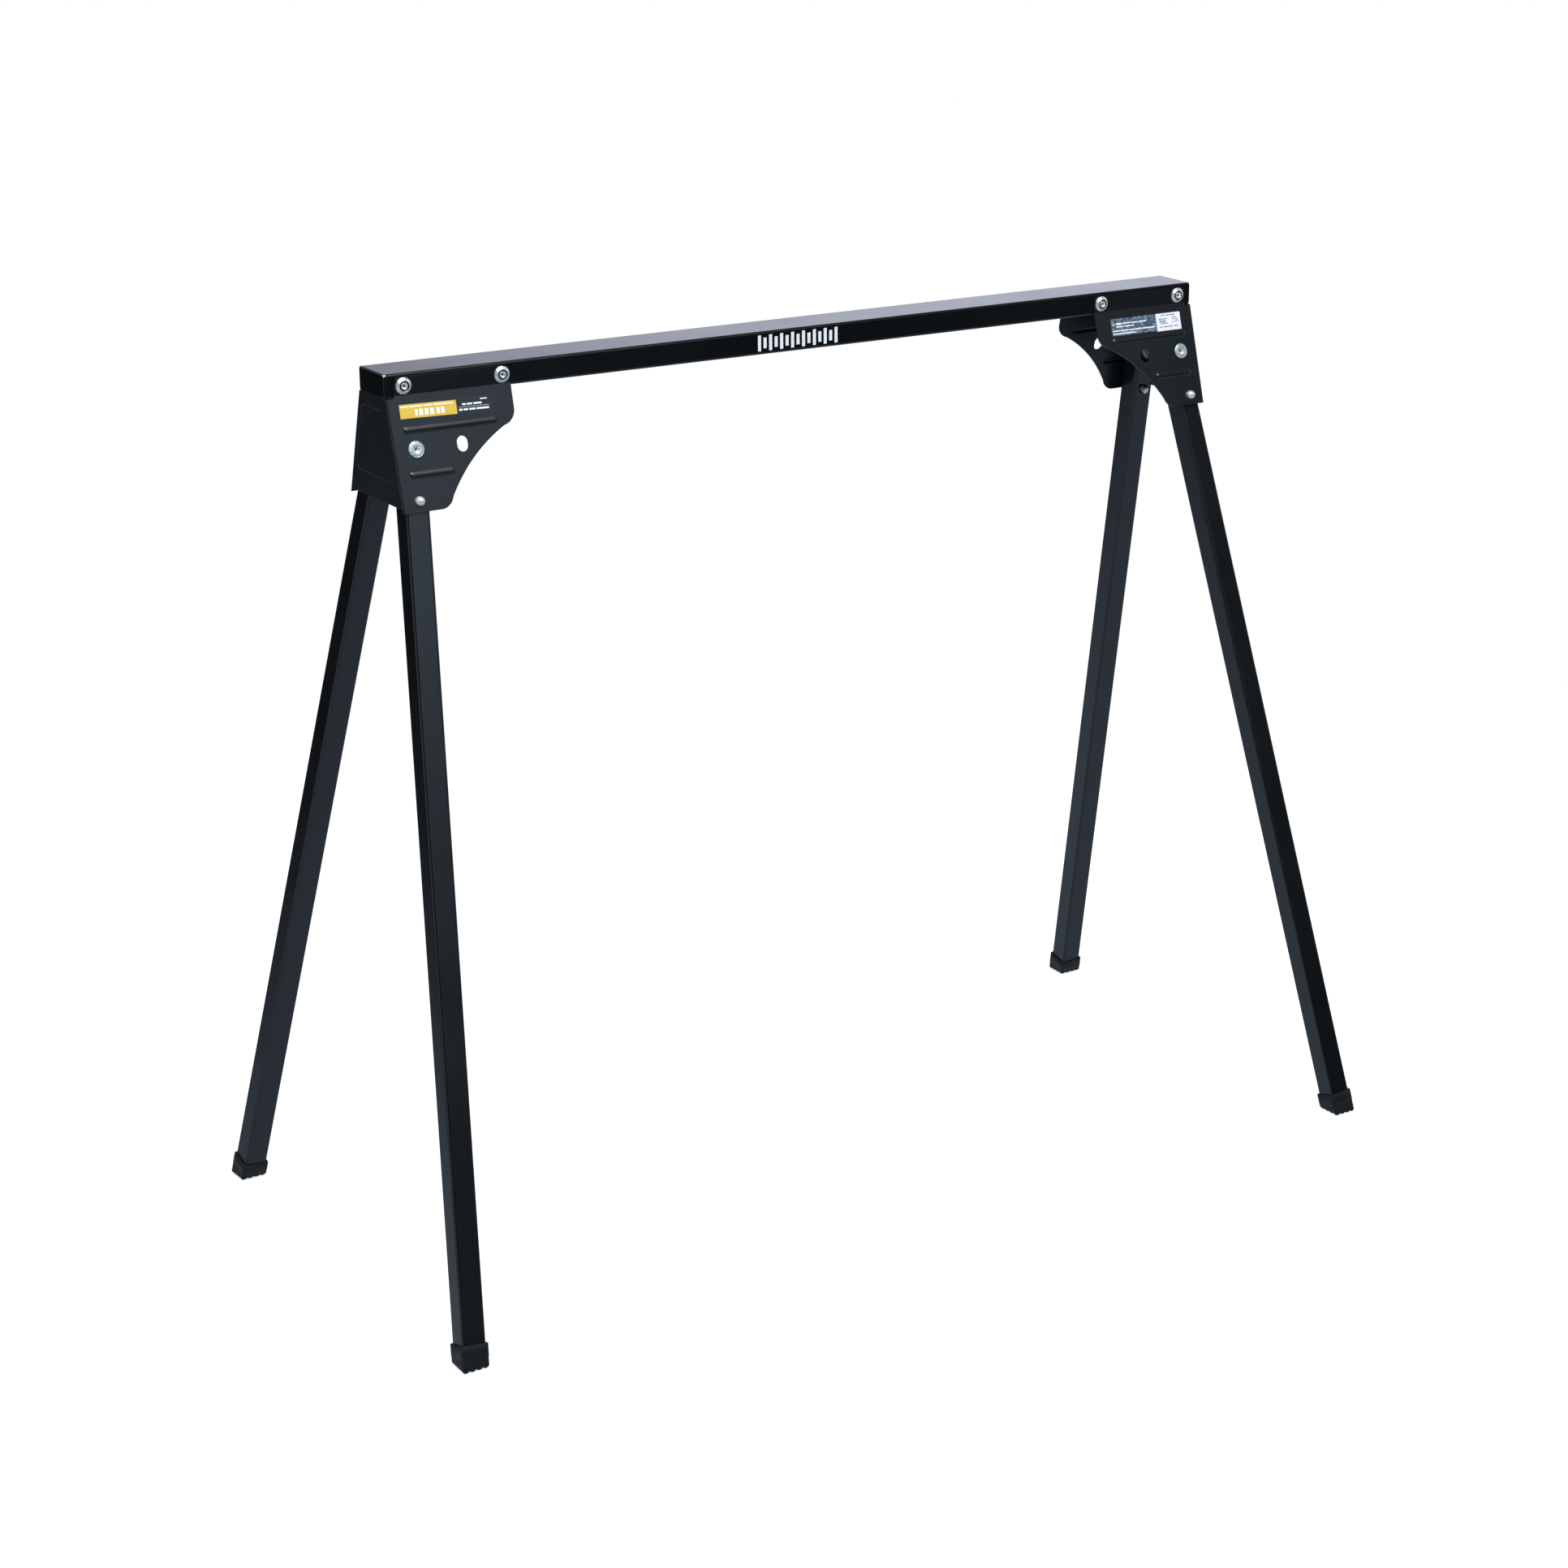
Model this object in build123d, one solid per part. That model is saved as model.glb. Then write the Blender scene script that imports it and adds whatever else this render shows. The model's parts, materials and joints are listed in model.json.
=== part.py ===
from build123d import *
import math
import os

# Folding sawhorse, in millimetres. +X runs along the beam, -Y is the labelled front, +Z is up.
# The origin is on the floor, under the middle of the beam.

# overall
beam_length = 812.8
beam_width = 45.0
beam_height = 19.8
height = 770.0
splay = 15.6
lean = 5.73

# sheet metal
sheet = 1.5
bend_radius = 2.0
lip = 5.0
end_flange = 5.0
end_tab_gap = 0.5
end_tab_rise = 0.6
end_tab_corner = 3.5
beam_end_round = 1.2

# bracket, measured along the beam from its end (u) and down the wing from the beam's lower edge (v)
wing_standoff = 2.2
wing_length = 111.0
wing_depth = 91.0
tab_start = 7.5
tab_top = 2.6
tab_corner = 6.0
screw_u = (16.2, 103.3)
screw_drop = 10.0
plate_drop = 104.4
rib_height = 1.2
rib_radius = 4.6
rib_end = 4.2
upper_rib = (10.0, 96.0, 25.6)
lower_rib = (9.5, 52.0, 61.4)
panel_depth = 0.6
panel_inset = 6.5
panel_drop = 10.5
panel_rise = 18.5
panel_corner = 7.0
panel_taper = 35

# legs
pivot_u = 19.4
pivot_v = 41.3
tube = 20.8
tube_wall = 1.2
tube_corner = 2.4
tube_above_pivot = 11.0
leg_gap = 1.8

# lock pin
pin_radius = 4.0
pin_reach = 41.2
pin_proud = 5.0
stem_radius = 3.0
stem_proud = 5.0
pin_hole_radius = 4.3
stem_hole_radius = 4.5
wing_hole_radius = 4.4
slot_width = 10.0
slot_length = 12.8
clip_radius = 6.5
clip_thickness = 1.2
spring_radius = 5.2
spring_wire = 0.9
spring_turns = 6

# fasteners
screw_radius = 3.0
screw_hole_radius = 3.3
screw_flange_radius = 6.8
screw_socket = 4.0
beam_nut_width = 10.0
beam_nut_height = 5.0
pivot_nut_width = 13.0
pivot_nut_height = 5.5
bolt_radius = 4.0
bolt_hole_radius = 4.2
bolt_head_radius = 7.0
bolt_head_height = 2.2
bolt_socket = 5.0
thread_end = 1.0
bush_radius = 6.0
bush_clearance = 0.05
washer_radius = 8.0
washer_thickness = 1.5
side_play = 0.3

# boots
boot_rim = 18.8
boot_side_wall = 1.6
boot_face_wall = 1.3
boot_floor = 5.0
stud_groove = 1.3
stud_depth = 1.9
studs_each_way = 4

# labels, each from u to u and from v to v on its wing, and the printed bars on the beam
label_thickness = 0.15
label_corner = 0.8
load_label = (9.3, 92.5, 4.9, 18.9)
warning_label = (42.8, 94.3, 5.2, 20.7)
plain_label = (14.6, 42.6, 5.2, 21.2)
mark_centre = -20.0
mark_bars = 15
mark_bar = 3.0
mark_pitch = 5.5
mark_tall = 13.5
mark_short = 9.0

half_length = beam_length / 2
half_width = beam_width / 2
beam_bottom = height - beam_height
sin_splay = math.sin(math.radians(splay))
cos_splay = math.cos(math.radians(splay))
sin_lean = math.sin(math.radians(lean))
cos_lean = math.cos(math.radians(lean))
leg_face = sheet + leg_gap

# the wing's outer face at the left front: x along the beam, y up the wing, z outwards
outward = Vector(0, -cos_splay, sin_splay)
wing_face = Plane(
    origin=(-half_length, -half_width - wing_standoff, beam_bottom),
    x_dir=(1, 0, 0),
    z_dir=outward,
)

# the leg's own frame at the left front: x down the leg from its pivot, z outwards, on the wing's face
leg_down = Vector(-sin_lean, -cos_lean * sin_splay, -cos_lean * cos_splay)
pivot_point = wing_face.from_local_coords(Vector(pivot_u, -pivot_v, 0))
leg_frame = Plane(origin=pivot_point, x_dir=leg_down, z_dir=outward)
leg_centre_depth = leg_face + tube / 2
leg_top_centre = leg_frame.from_local_coords(Vector(0, 0, -leg_centre_depth))
leg_length = leg_top_centre.Z / (cos_lean * cos_splay)
tube_end = leg_length - boot_floor / cos_splay - tube * (sin_splay + sin_lean) / 2
clip_low = -leg_face - tube_wall - side_play - clip_thickness

# one pin hole under the pivot for standing, and a slot beside it for folded legs
pin_u = pivot_u - pin_reach * sin_lean
pin_v = pivot_v + pin_reach * cos_lean
slot_u = pivot_u + pin_reach
slot_v = pivot_v


def save(shape, node):
    export_step(shape, f"parts/{node}.step")


def corners(shape):
    """The same shape at the left front, left back, right front and right back, mirrored."""
    back = mirror(shape, about=Plane.XZ)
    return {
        "left_front": shape,
        "left_back": back,
        "right_front": mirror(shape, about=Plane.YZ),
        "right_back": mirror(back, about=Plane.YZ),
    }


def group(shapes):
    return Compound(children=[solid for shape in shapes for solid in shape.solids()])


def rod(radius, low, high):
    """A rod along local Z between two heights."""
    return Pos(0, 0, low) * Cylinder(radius, high - low, align=(Align.CENTER, Align.CENTER, Align.MIN))


def hex_prism(across_flats, low, high):
    outline = RegularPolygon(across_flats / 2, 6, major_radius=False)
    return Pos(0, 0, low) * extrude(outline, high - low)


def turned(points):
    """A turned piece from (radius, height) points, about local Z."""
    outline = Plane.XZ * make_face(Polyline(*points, close=True))
    return revolve(outline, Axis.Z)


# ---- beam ----

def beam_section(inset):
    """The beam's outline across its length, inset from its outer faces."""
    width = beam_width - 2 * inset
    depth = beam_height - 2 * inset
    corner = max(bend_radius - inset, 0.5)
    outline = RectangleRounded(width, depth, corner)
    return Plane.YZ * Pos(0, height - beam_height / 2) * outline


def make_end_tab(side):
    """The top sheet's tab, bent down over one end of the beam."""
    drop = beam_height - end_tab_rise
    tab = Rectangle(beam_width - 2 * end_flange - 2 * end_tab_gap, drop)
    lower = tab.vertices().group_by(Axis.Y)[0]
    tab = fillet(lower, end_tab_corner)
    middle = (side * half_length, 0, height - drop / 2)
    end_face = Plane(origin=middle, x_dir=(0, side, 0), z_dir=(side, 0, 0))
    return extrude(end_face * tab, -sheet)


def make_end_flanges(side):
    """The side walls' edges, turned in across one end of the beam beside the tab."""
    drop = beam_height - sheet
    flanges = []
    for face in (-1, 1):
        x = side * (half_length - sheet / 2)
        y = face * (half_width - end_flange / 2)
        flanges.append(Pos(x, y, beam_bottom + drop / 2) * Box(sheet, end_flange, drop))
    return flanges


def make_beam():
    """A channel with its lips turned in below, and its top and walls turned in over each end."""
    envelope = extrude(beam_section(0), half_length, both=True)
    body = envelope - extrude(beam_section(sheet), half_length, both=True)
    mouth = beam_width - 2 * lip
    body -= Pos(0, 0, beam_bottom) * Box(beam_length, mouth, 3 * sheet)
    lip_relief = Box(4 * sheet, beam_width - 2 * sheet - end_tab_gap, 3 * sheet)
    for side in (-1, 1):
        body -= Pos(side * (half_length - sheet), 0, beam_bottom) * lip_relief
        body += make_end_tab(side)
        for flange in make_end_flanges(side):
            body += flange & envelope
    top_ends = body.edges().filter_by(Axis.Y).group_by(Axis.Z)[-1]
    body = fillet(top_ends, beam_end_round)
    bore = Cylinder(screw_hole_radius, beam_width + 2)
    for side in (-1, 1):
        for u in screw_u:
            body -= Pos(side * (half_length - u), 0, height - screw_drop) * Rot(90, 0, 0) * bore
    return body


# ---- brackets ----

def wing_outline():
    """The wing's outline on its own face, from the beam's lower edge down."""
    top = Line((0, 0), (wing_length, 0))
    shoulder = Line((wing_length, 0), (110.6, -19.0))
    lobe = ThreePointArc((110.6, -19.0), (107.6, -26.2), (100.0, -30.8))
    sweep_curve = ThreePointArc((100.0, -30.8), (67.5, -54.4), (45.1, -82.3))
    toe = ThreePointArc((45.1, -82.3), (40.6, -88.7), (33.0, -wing_depth))
    bottom = Line((33.0, -wing_depth), (0, -wing_depth))
    end = Line((0, -wing_depth), (0, 0))
    return make_face(Curve() + [top, shoulder, lobe, sweep_curve, toe, bottom, end])


def tab_outline():
    """The tab beside the beam, from its rounded top down into the wing."""
    low = beam_bottom - 1.0
    high = height - tab_top
    shape = Rectangle(wing_length - tab_start, high - low, align=(Align.MIN, Align.MIN))
    upper = shape.vertices().group_by(Axis.Y)[-1]
    shape = fillet(upper, tab_corner)
    return Plane.XZ * Pos(-half_length + tab_start, low) * shape


def wing_blank():
    """One side of the bracket before its outline is cut: tab and wing in section, along the beam."""
    top = height - tab_top
    outer = half_width + sheet
    bend_z = beam_bottom + (wing_standoff - sheet) / math.tan(math.radians(splay))
    foot = wing_depth + 2
    foot_y = half_width + wing_standoff + foot * sin_splay
    foot_z = beam_bottom - foot * cos_splay
    inner_bend = bend_z + sheet * math.tan(math.radians(splay / 2))
    section = Polyline(
        (-outer, top),
        (-outer, bend_z),
        (-foot_y, foot_z),
        (-foot_y + sheet * cos_splay, foot_z - sheet * sin_splay),
        (-half_width, inner_bend),
        (-half_width, top),
        close=True,
    )
    blank = extrude(Plane.YZ.offset(-half_length) * make_face(section), wing_length)
    bends = blank.edges().filter_by(Axis.X).filter_by(lambda edge: abs(edge.center().Z - bend_z) < 1)
    return fillet(bends, bend_radius)


def on_wing(u, v):
    """A frame on the wing's outer face, z outwards."""
    return wing_face * Pos(u, -v, 0)


def round_bar(start, end, v, radius):
    """A round-ended bar lying along the wing, its axis below the outer face."""
    axis_depth = rib_radius - rib_height
    bar = on_wing(start, v) * Pos(0, 0, -axis_depth) * Rot(0, 90, 0) * rod(radius, 0, end - start)
    for u in (start, end):
        bar += on_wing(u, v) * Pos(0, 0, -axis_depth) * Sphere(radius)
    return bar


def make_wing():
    keep = extrude(wing_face * wing_outline(), 6, both=True)
    keep += extrude(tab_outline(), half_width * 2, both=True)
    return wing_blank() & keep


def plate_half_width(z):
    """Half the end plate's width at a height: it fills the space between the wings' outer faces."""
    return half_width + wing_standoff + (beam_bottom - z) * math.tan(math.radians(splay))


def trapezoid(low, high, inset):
    """An outline between two heights on the end plate, inset from its slanting sides."""
    wide = plate_half_width(low) - inset
    narrow = plate_half_width(high) - inset
    return make_face(Polyline((-wide, low), (wide, low), (narrow, high), (-narrow, high), close=True))


def make_end_plate():
    plate_bottom = height - plate_drop
    outer = Plane(origin=(-half_length, 0, 0), x_dir=(0, -1, 0), z_dir=(-1, 0, 0))
    plate = extrude(outer * trapezoid(plate_bottom, beam_bottom, 0), -sheet)
    panel = trapezoid(plate_bottom + panel_rise, beam_bottom - panel_drop, panel_inset)
    panel = fillet(panel.vertices(), panel_corner)
    inner = outer.offset(-sheet)
    plate += extrude(inner * panel, -panel_depth, taper=panel_taper)
    plate -= extrude(outer * panel, -panel_depth, taper=panel_taper)
    return plate


def corner_spare():
    """What the bend takes off the square corner between a wing and the end plate."""
    length = wing_depth + 10
    middle = on_wing(0, wing_depth / 2)
    corner = middle * Pos(bend_radius / 2, 0, -bend_radius / 2) * Box(bend_radius, length, bend_radius)
    bend_axis = middle * Pos(bend_radius, 0, -bend_radius) * Rot(90, 0, 0)
    return corner - bend_axis * Cylinder(bend_radius, length)


def make_bracket():
    """The left bracket; the right one is its mirror image."""
    wing = make_wing()
    body = wing + mirror(wing, about=Plane.XZ) + make_end_plate()
    spare = corner_spare()
    body -= spare
    body -= mirror(spare, about=Plane.XZ)
    for start, end, v in (upper_rib, lower_rib):
        ridge = round_bar(start + rib_end, end - rib_end, v, rib_radius)
        ridge &= wing_face * Pos(wing_length / 2, -wing_depth / 2, 5) * Box(wing_length, wing_depth, 10)
        hollow = round_bar(start + rib_end, end - rib_end, v, rib_radius - sheet)
        for shape in (ridge, mirror(ridge, about=Plane.XZ)):
            body += shape
        for shape in (hollow, mirror(hollow, about=Plane.XZ)):
            body -= shape
    slot = extrude(SlotOverall(slot_length, slot_width, rotation=90), 6, both=True)
    holes = [
        on_wing(pivot_u, pivot_v) * Cylinder(bolt_hole_radius, 12),
        on_wing(pin_u, pin_v) * Cylinder(wing_hole_radius, 12),
        on_wing(slot_u, slot_v) * slot,
    ]
    for u in screw_u:
        place = Pos(-half_length + u, -half_width, height - screw_drop)
        holes.append(place * Rot(90, 0, 0) * Cylinder(screw_hole_radius, 12))
    for hole in holes:
        body -= hole
        body -= mirror(hole, about=Plane.XZ)
    return body


# ---- fasteners ----

def screw_places():
    """A frame at each beam screw, on the tab's outer face, z outwards."""
    for side in (-1, 1):
        for face in (-1, 1):
            for u in screw_u:
                place = (side * (half_length - u), face * (half_width + sheet), height - screw_drop)
                yield Plane(origin=place, x_dir=(1, 0, 0), z_dir=(0, face, 0))


def pivot_places():
    """A frame at each leg pivot, on the wing's outer face, z outwards."""
    for side in (-1, 1):
        for face in (-1, 1):
            place = (side * abs(pivot_point.X), face * abs(pivot_point.Y), pivot_point.Z)
            yield Plane(origin=place, x_dir=(1, 0, 0), z_dir=(0, face * cos_splay, sin_splay))


def make_screw():
    """Flanged button head with a hex socket, its flange on local z = 0."""
    end = -2 * sheet - beam_nut_height - thread_end
    outline = [
        (0, end),
        (screw_radius - 0.5, end),
        (screw_radius, end + 0.5),
        (screw_radius, 0),
        (screw_flange_radius, 0),
        (screw_flange_radius, 0.6),
        (screw_flange_radius - 0.4, 1.0),
        (5.2, 1.2),
        (4.8, 2.0),
        (4.1, 2.8),
        (3.1, 3.3),
        (0, 3.3),
    ]
    return turned(outline) - hex_prism(screw_socket, 1.2, 4.0)


def make_beam_nut():
    low = -2 * sheet - beam_nut_height
    return hex_prism(beam_nut_width, low, -2 * sheet) - rod(screw_radius + 0.05, low - 1, 0)


def make_pivot_bolt():
    """Low flat head with a hex socket; the shank runs in the leg's bush."""
    end = -leg_face - tube - side_play - pivot_nut_height - thread_end
    outline = [
        (0, end),
        (bolt_radius - 0.6, end),
        (bolt_radius, end + 0.6),
        (bolt_radius, 0),
        (bolt_head_radius, 0),
        (bolt_head_radius, bolt_head_height - 0.9),
        (bolt_head_radius - 0.9, bolt_head_height),
        (0, bolt_head_height),
    ]
    return turned(outline) - hex_prism(bolt_socket, -1.0, 3.0)


def make_pivot_nut():
    high = -leg_face - tube - side_play
    low = high - pivot_nut_height
    return hex_prism(pivot_nut_width, low, high) - rod(bolt_radius + 0.05, low - 1, high + 1)


def make_pivot_washer():
    low = -sheet - washer_thickness
    return rod(washer_radius, low, -sheet) - rod(bolt_hole_radius, low - 1, 0)


# ---- leg, at the left front ----

def square_bar(width, depth, corner, low, high):
    """A bar along the leg between two distances from the pivot, centred on the tube."""
    outline = Plane.YZ.offset(low) * Pos(0, -leg_centre_depth) * RectangleRounded(width, depth, corner)
    return extrude(outline, high - low)


def make_leg_tube():
    outer = square_bar(tube, tube, tube_corner, -tube_above_pivot, tube_end)
    inside = tube - 2 * tube_wall
    body = outer - square_bar(inside, inside, tube_corner - tube_wall, -tube_above_pivot - 1, tube_end + 1)
    body -= rod(bush_radius + 0.05, -leg_face - tube - 1, 0)
    body -= Pos(pin_reach, 0, 0) * rod(pin_hole_radius, -leg_face - tube / 2, 0)
    body -= Pos(pin_reach, 0, 0) * rod(stem_hole_radius, -leg_face - tube - 1, -leg_face - tube / 2)
    return leg_frame * body


def make_bush():
    low = -leg_face - tube
    return leg_frame * (rod(bush_radius, low, -leg_face) - rod(bolt_radius + bush_clearance, low - 1, 0))


def make_boot():
    """A moulded boot: its rim is square to the leg, its sole lies flat on the floor."""
    width = tube + 2 * boot_side_wall
    depth = tube + 2 * boot_face_wall
    rim = leg_length - boot_rim
    body = square_bar(width, depth, tube_corner + boot_face_wall, rim, leg_length + boot_rim)
    body -= square_bar(tube, tube, tube_corner, rim - 1, tube_end)
    boot = leg_frame * body
    sole = leg_frame.from_local_coords(Vector(leg_length, 0, -leg_centre_depth))
    below_floor = Pos(sole.X, sole.Y, -25) * Box(90, 90, 50)
    boot -= below_floor
    for step in range(1, studs_each_way):
        shift = (step / studs_each_way - 0.5) * width
        boot -= Pos(sole.X + shift, sole.Y, 0) * Box(stud_groove, 40, 2 * stud_depth)
        boot -= Pos(sole.X, sole.Y + shift, 0) * Box(40, stud_groove, 2 * stud_depth)
    return boot


def make_lock_pin():
    """A stepped pin: domed outer end, thin stem out of the leg's inner face."""
    shoulder = clip_low - 1.5
    end = -leg_face - tube - stem_proud
    body = rod(pin_radius, shoulder, pin_proud - pin_radius)
    body += Pos(0, 0, pin_proud - pin_radius) * Sphere(pin_radius)
    stem = [
        (0, end),
        (stem_radius - 0.4, end),
        (stem_radius, end + 0.4),
        (stem_radius, shoulder),
        (0, shoulder),
    ]
    body += turned(stem)
    return leg_frame * Pos(pin_reach, 0, 0) * body


def make_pin_clip():
    ring = rod(clip_radius, clip_low, clip_low + clip_thickness) - rod(pin_radius, clip_low - 1, 0)
    return leg_frame * Pos(pin_reach, 0, 0) * ring


def make_lock_spring():
    low = -leg_face - tube + tube_wall + spring_wire / 2 + 0.1
    high = clip_low - spring_wire / 2 - 0.1
    path = Helix((high - low) / spring_turns, high - low, spring_radius)
    section = Plane(origin=path @ 0, z_dir=path % 0) * Circle(spring_wire / 2)
    return leg_frame * Pos(pin_reach, 0, low) * sweep(section, path=path, is_frenet=True)


# ---- labels and printed mark ----

def wing_label(start, end, top, bottom):
    patch = RectangleRounded(end - start, bottom - top, label_corner)
    return extrude(on_wing((start + end) / 2, (top + bottom) / 2) * patch, label_thickness)


def make_beam_mark():
    """A row of upright printed bars, tall and short by turns, on the beam's front."""
    bars = []
    for step in range(mark_bars):
        x = mark_centre + (step - (mark_bars - 1) / 2) * mark_pitch
        tall = mark_tall if step % 2 == 0 else mark_short
        place = Pos(x, -half_width - label_thickness / 2, height - beam_height / 2)
        bars.append(place * Box(mark_bar, label_thickness, tall))
    return group(bars)


def main():
    os.makedirs("parts", exist_ok=True)
    bracket = make_bracket()
    save(make_beam(), "beam")
    save(bracket, "bracket_left")
    save(mirror(bracket, about=Plane.YZ), "bracket_right")
    save(group([place * make_screw() for place in screw_places()]), "beam_screws")
    save(group([place * make_beam_nut() for place in screw_places()]), "beam_nuts")
    save(group([place * make_pivot_bolt() for place in pivot_places()]), "pivot_bolts")
    save(group([place * make_pivot_nut() for place in pivot_places()]), "pivot_nuts")
    save(group([place * make_pivot_washer() for place in pivot_places()]), "pivot_washers")
    leg_pieces = {
        "leg_tube": make_leg_tube(),
        "pivot_bush": make_bush(),
        "foot": make_boot(),
        "lock_pin": make_lock_pin(),
        "pin_clip": make_pin_clip(),
        "lock_spring": make_lock_spring(),
    }
    for piece, shape in leg_pieces.items():
        for corner, placed in corners(shape).items():
            save(placed, f"{piece}_{corner}")
    save(wing_label(*load_label), "load_label")
    save(mirror(wing_label(*warning_label), about=Plane.YZ), "warning_label")
    save(mirror(wing_label(*plain_label), about=Plane.YZ), "plain_label")
    save(make_beam_mark(), "beam_mark")


if __name__ == "__main__":
    main()
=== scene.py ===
import json
import math

import bmesh
import bpy
from mathutils import Matrix, Quaternion, Vector


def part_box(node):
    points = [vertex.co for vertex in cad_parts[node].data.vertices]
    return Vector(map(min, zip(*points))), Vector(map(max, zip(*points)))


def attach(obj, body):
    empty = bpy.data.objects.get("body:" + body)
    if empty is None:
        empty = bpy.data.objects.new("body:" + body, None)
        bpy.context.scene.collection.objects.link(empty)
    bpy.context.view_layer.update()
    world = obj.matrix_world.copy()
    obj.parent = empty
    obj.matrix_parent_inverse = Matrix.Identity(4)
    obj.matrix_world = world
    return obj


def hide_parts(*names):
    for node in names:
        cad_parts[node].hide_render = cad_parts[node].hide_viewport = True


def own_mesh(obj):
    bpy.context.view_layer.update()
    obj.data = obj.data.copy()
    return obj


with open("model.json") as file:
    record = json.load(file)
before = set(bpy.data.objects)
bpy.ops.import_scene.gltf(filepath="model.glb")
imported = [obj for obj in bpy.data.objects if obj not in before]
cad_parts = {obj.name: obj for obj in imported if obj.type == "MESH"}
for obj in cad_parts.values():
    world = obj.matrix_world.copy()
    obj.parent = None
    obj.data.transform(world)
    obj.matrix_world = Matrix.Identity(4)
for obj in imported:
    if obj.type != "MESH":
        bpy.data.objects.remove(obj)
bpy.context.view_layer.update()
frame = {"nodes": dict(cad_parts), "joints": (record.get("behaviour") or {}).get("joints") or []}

mm = 0.001
cornerNames = ("left_front", "left_back", "right_front", "right_back")
scene = bpy.context.scene

# the camera stands at the left front, above the beam, and looks a little down
cameraValues = {
    "place": (-1.54013, -2.43797, 1.30608),
    "aim": (0.548195, 0.774441, -0.315789),
    "roll": 0.703,
    "lens": 77.44,
    "shift": (-0.1212, 0.0032),
    "clip": (0.1, 60),
}


def addCamera(values):
    data = bpy.data.cameras.new("studioCamera")
    data.lens = values["lens"]
    data.sensor_width = 36
    data.shift_x, data.shift_y = values["shift"]
    data.clip_start, data.clip_end = values["clip"]
    camera = bpy.data.objects.new("studioCamera", data)
    camera.rotation_mode = "QUATERNION"
    camera.location = values["place"]
    level = Vector(values["aim"]).to_track_quat("-Z", "Y")
    camera.rotation_quaternion = level @ Quaternion((0, 0, 1), math.radians(values["roll"]))
    scene.collection.objects.link(camera)
    scene.camera = camera
    scene.view_settings.view_transform = "Standard"


addCamera(cameraValues)
print("camera placed")


def meshPiece(name, bm, materials, smoothAngle=40):
    # makes a bmesh into an object, shaded smooth where an edge turns less than the angle
    bmesh.ops.recalc_face_normals(bm, faces=bm.faces)
    mesh = bpy.data.meshes.new(name)
    for edge in bm.edges:
        edge.smooth = len(edge.link_faces) == 2 and edge.calc_face_angle() < math.radians(smoothAngle)
    for face in bm.faces:
        face.smooth = True
    bm.to_mesh(mesh)
    bm.free()
    piece = bpy.data.objects.new(name, mesh)
    scene.collection.objects.link(piece)
    for material in materials:
        mesh.materials.append(material)
    return piece


def placeMatrix(origin, zAxis, xAxis):
    # a place whose z points along zAxis, and whose x is as near xAxis as it can be
    z = Vector(zAxis).normalized()
    x = (Vector(xAxis) - z * Vector(xAxis).dot(z)).normalized()
    y = z.cross(x)
    turn = Matrix((x, y, z)).transposed().to_4x4()
    return Matrix.Translation(Vector(origin)) @ turn


def ringRadius(radius, hexShare, angle):
    # a ring's radius at an angle: round, or a hexagon of that apothem, or between the two
    sixth = math.pi / 3
    fromFlat = (angle % sixth) - sixth / 2
    return radius * (1 - hexShare) + radius / math.cos(fromFlat) * hexShare


def turnPiece(bm, place, profile, segments=60, material=0):
    # turns a list of (radius, height, hex share), in millimetres, about the place's z axis
    rings = []
    for radius, height, hexShare in profile:
        if radius == 0:
            rings.append([bm.verts.new(place @ Vector((0, 0, height * mm)))])
            continue
        ring = []
        for step in range(segments):
            angle = 2 * math.pi * step / segments
            reach = ringRadius(radius, hexShare, angle) * mm
            spot = Vector((reach * math.cos(angle), reach * math.sin(angle), height * mm))
            ring.append(bm.verts.new(place @ spot))
        rings.append(ring)
    for low, high in zip(rings, rings[1:]):
        for step in range(segments):
            after = (step + 1) % segments
            if len(low) == 1:
                face = bm.faces.new((low[0], high[after], high[step]))
            elif len(high) == 1:
                face = bm.faces.new((low[step], low[after], high[0]))
            else:
                face = bm.faces.new((low[step], low[after], high[after], high[step]))
            face.material_index = material


def joinRings(bm, rings):
    # walls between neighbouring rings that have the same number of vertices
    for low, high in zip(rings, rings[1:]):
        for i in range(len(low)):
            j = (i + 1) % len(low)
            bm.faces.new((low[i], low[j], high[j], high[i]))


def addBox(bm, place, low, high, material=0):
    # a closed box between two corners in the place's own axes, in millimetres
    corners = []
    for x in (low[0], high[0]):
        for y in (low[1], high[1]):
            for z in (low[2], high[2]):
                corners.append(bm.verts.new(place @ (Vector((x, y, z)) * mm)))
    for quad in ((0, 1, 3, 2), (4, 6, 7, 5), (0, 4, 5, 1), (2, 3, 7, 6), (0, 2, 6, 4), (1, 5, 7, 3)):
        face = bm.faces.new([corners[i] for i in quad])
        face.material_index = material


def newMaterial(name):
    material = bpy.data.materials.new(name)
    material.use_nodes = True
    tree = material.node_tree
    shader = tree.nodes["Principled BSDF"]
    return material, tree, shader


def noise(tree, scale, detail=3.0, roughness=0.5, stretch=(1, 1, 1)):
    # noise in the object's own axes, so that it stays on a piece that moves
    place = tree.nodes.new("ShaderNodeTexCoord")
    mapping = tree.nodes.new("ShaderNodeMapping")
    mapping.inputs["Scale"].default_value = stretch
    node = tree.nodes.new("ShaderNodeTexNoise")
    node.inputs["Scale"].default_value = scale
    node.inputs["Detail"].default_value = detail
    node.inputs["Roughness"].default_value = roughness
    tree.links.new(place.outputs["Object"], mapping.inputs["Vector"])
    tree.links.new(mapping.outputs["Vector"], node.inputs["Vector"])
    return node.outputs["Fac"]


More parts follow.
